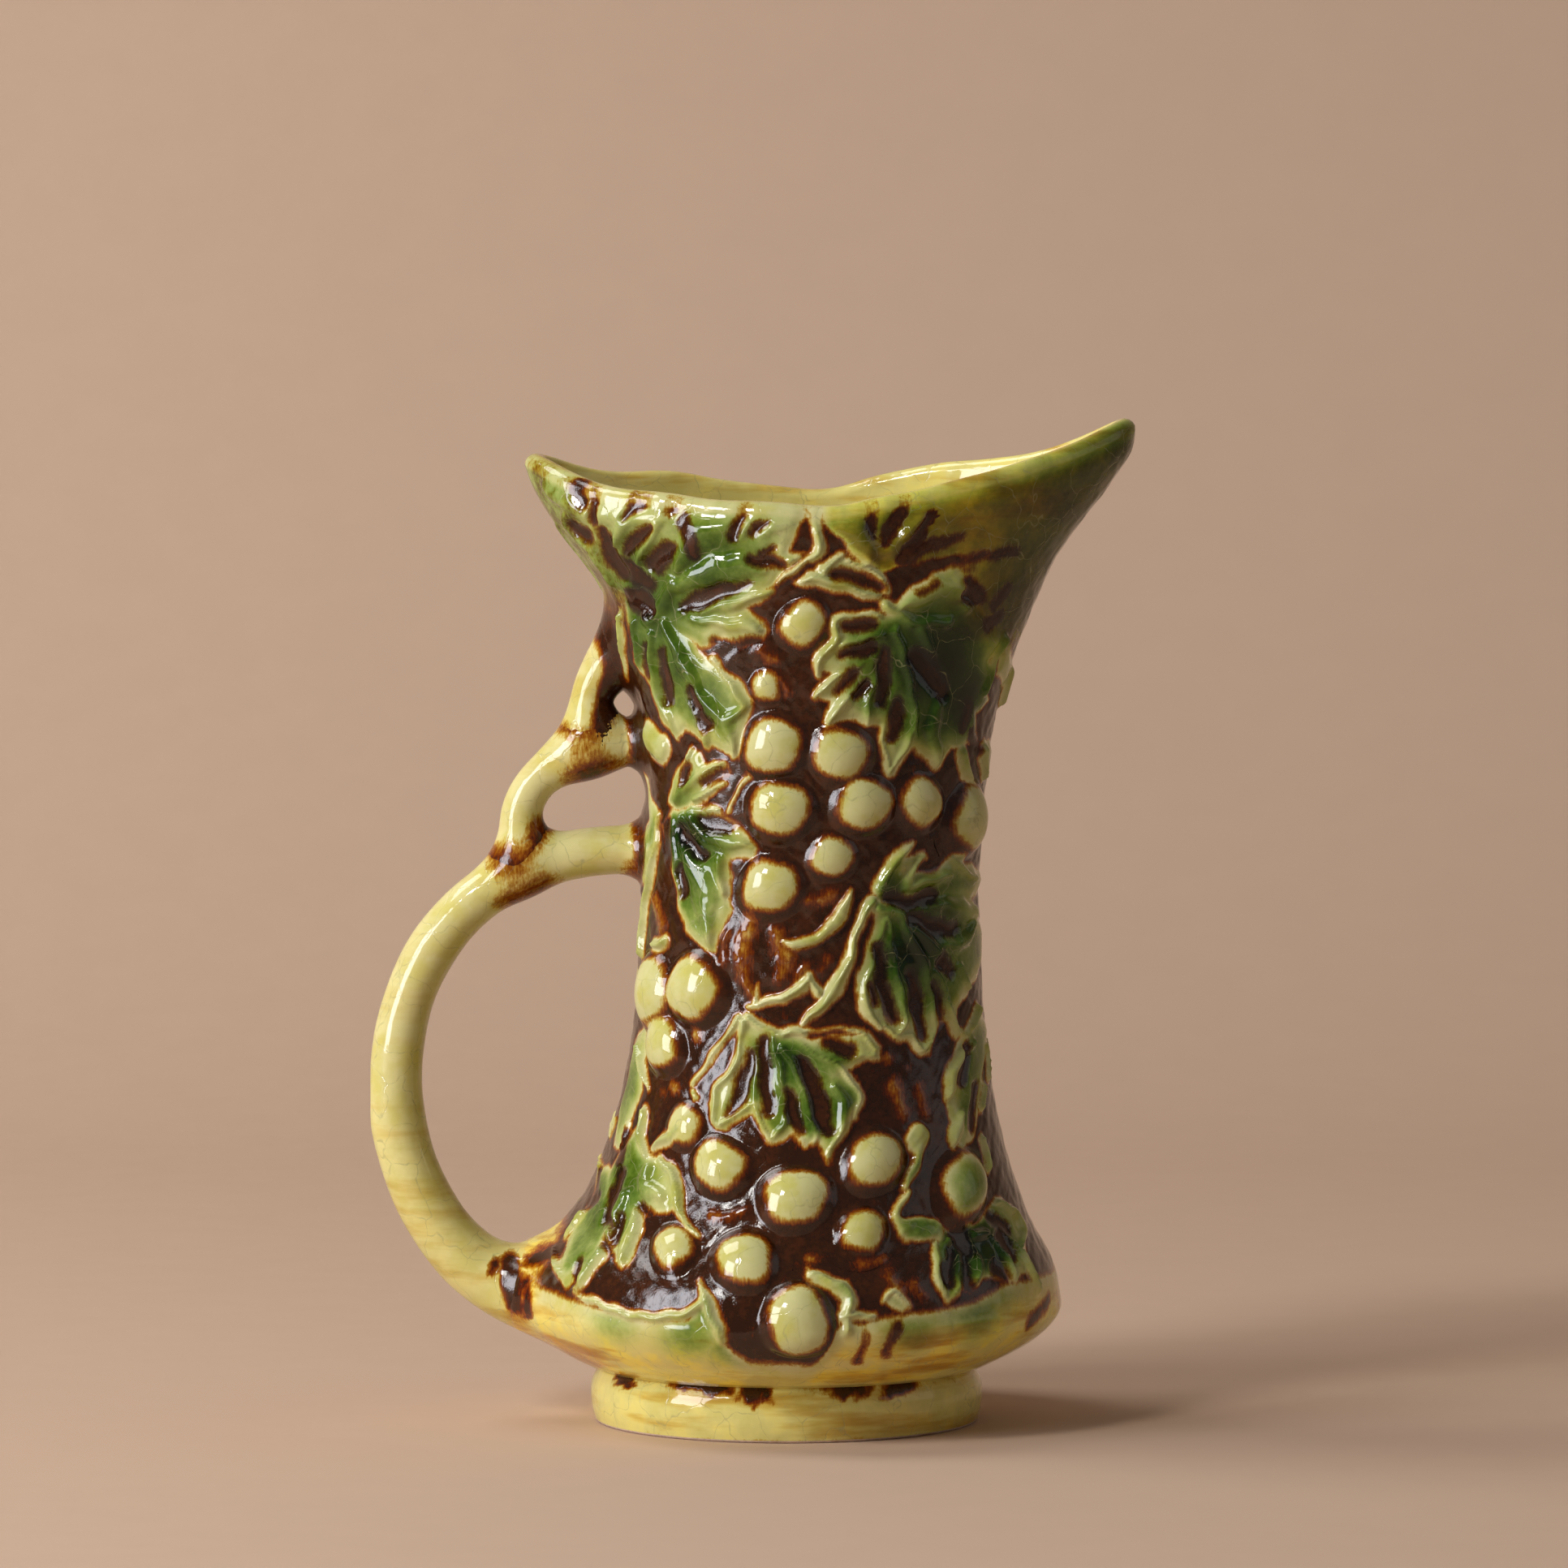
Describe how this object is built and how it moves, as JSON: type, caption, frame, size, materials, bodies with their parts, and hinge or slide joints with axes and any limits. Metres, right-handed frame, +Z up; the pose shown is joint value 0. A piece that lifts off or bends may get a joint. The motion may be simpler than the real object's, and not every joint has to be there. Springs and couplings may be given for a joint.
{
  "type": "pitcher",
  "caption": "Tall waisted glazed pitcher with a boat-shaped mouth, long spout, looped handle and round foot, its wall covered in moulded vine leaves and grapes; holds and pours drinks.",
  "frame": {"origin": "centre of the foot on the surface that the jug stands on", "axes": "+X toward the spout, +Y toward the back, +Z up"},
  "size_m": [0.1742, 0.1304, 0.229],
  "materials": {
    "wall_glaze": "glossy brown glaze",
    "foot_glaze": "glossy yellow glaze",
    "handle_glaze": "glossy pale yellow glaze",
    "leaf_glaze": "glossy green glaze",
    "berry_glaze": "glossy cream glaze",
    "stem_glaze": "glossy olive glaze"
  },
  "bodies": {
    "root": {"vessel_wall": "wall_glaze", "foot_ring": "foot_glaze", "handle_loop": "handle_glaze", "handle_middle_arch": "handle_glaze", "handle_top_arch": "handle_glaze", "front_leaf_rim": "leaf_glaze", "front_leaf_collar_left": "leaf_glaze", "front_leaf_collar_right": "leaf_glaze", "front_leaf_waist_left": "leaf_glaze", "front_leaf_waist_right": "leaf_glaze", "front_leaf_belly_centre": "leaf_glaze", "front_leaf_belly_left": "leaf_glaze", "front_leaf_belly_right": "leaf_glaze", "front_leaf_hip": "leaf_glaze", "front_leaf_hem_left": "leaf_glaze", "front_leaf_hem_right": "leaf_glaze", "front_berries_neck": "berry_glaze", "front_berries_upper": "berry_glaze", "front_berries_middle": "berry_glaze", "front_berries_lower": "berry_glaze", "front_stem_collar": "stem_glaze", "front_stem_waist": "stem_glaze", "front_tendril_belly": "stem_glaze", "back_leaf_rim": "leaf_glaze", "back_leaf_collar_left": "leaf_glaze", "back_leaf_collar_right": "leaf_glaze", "back_leaf_waist_left": "leaf_glaze", "back_leaf_waist_right": "leaf_glaze", "back_leaf_belly_centre": "leaf_glaze", "back_leaf_belly_left": "leaf_glaze", "back_leaf_belly_right": "leaf_glaze", "back_leaf_hip": "leaf_glaze", "back_leaf_hem_left": "leaf_glaze", "back_leaf_hem_right": "leaf_glaze", "back_berries_neck": "berry_glaze", "back_berries_upper": "berry_glaze", "back_berries_middle": "berry_glaze", "back_berries_lower": "berry_glaze", "back_stem_collar": "stem_glaze", "back_stem_waist": "stem_glaze", "back_tendril_belly": "stem_glaze"}
  },
  "joints": []
}
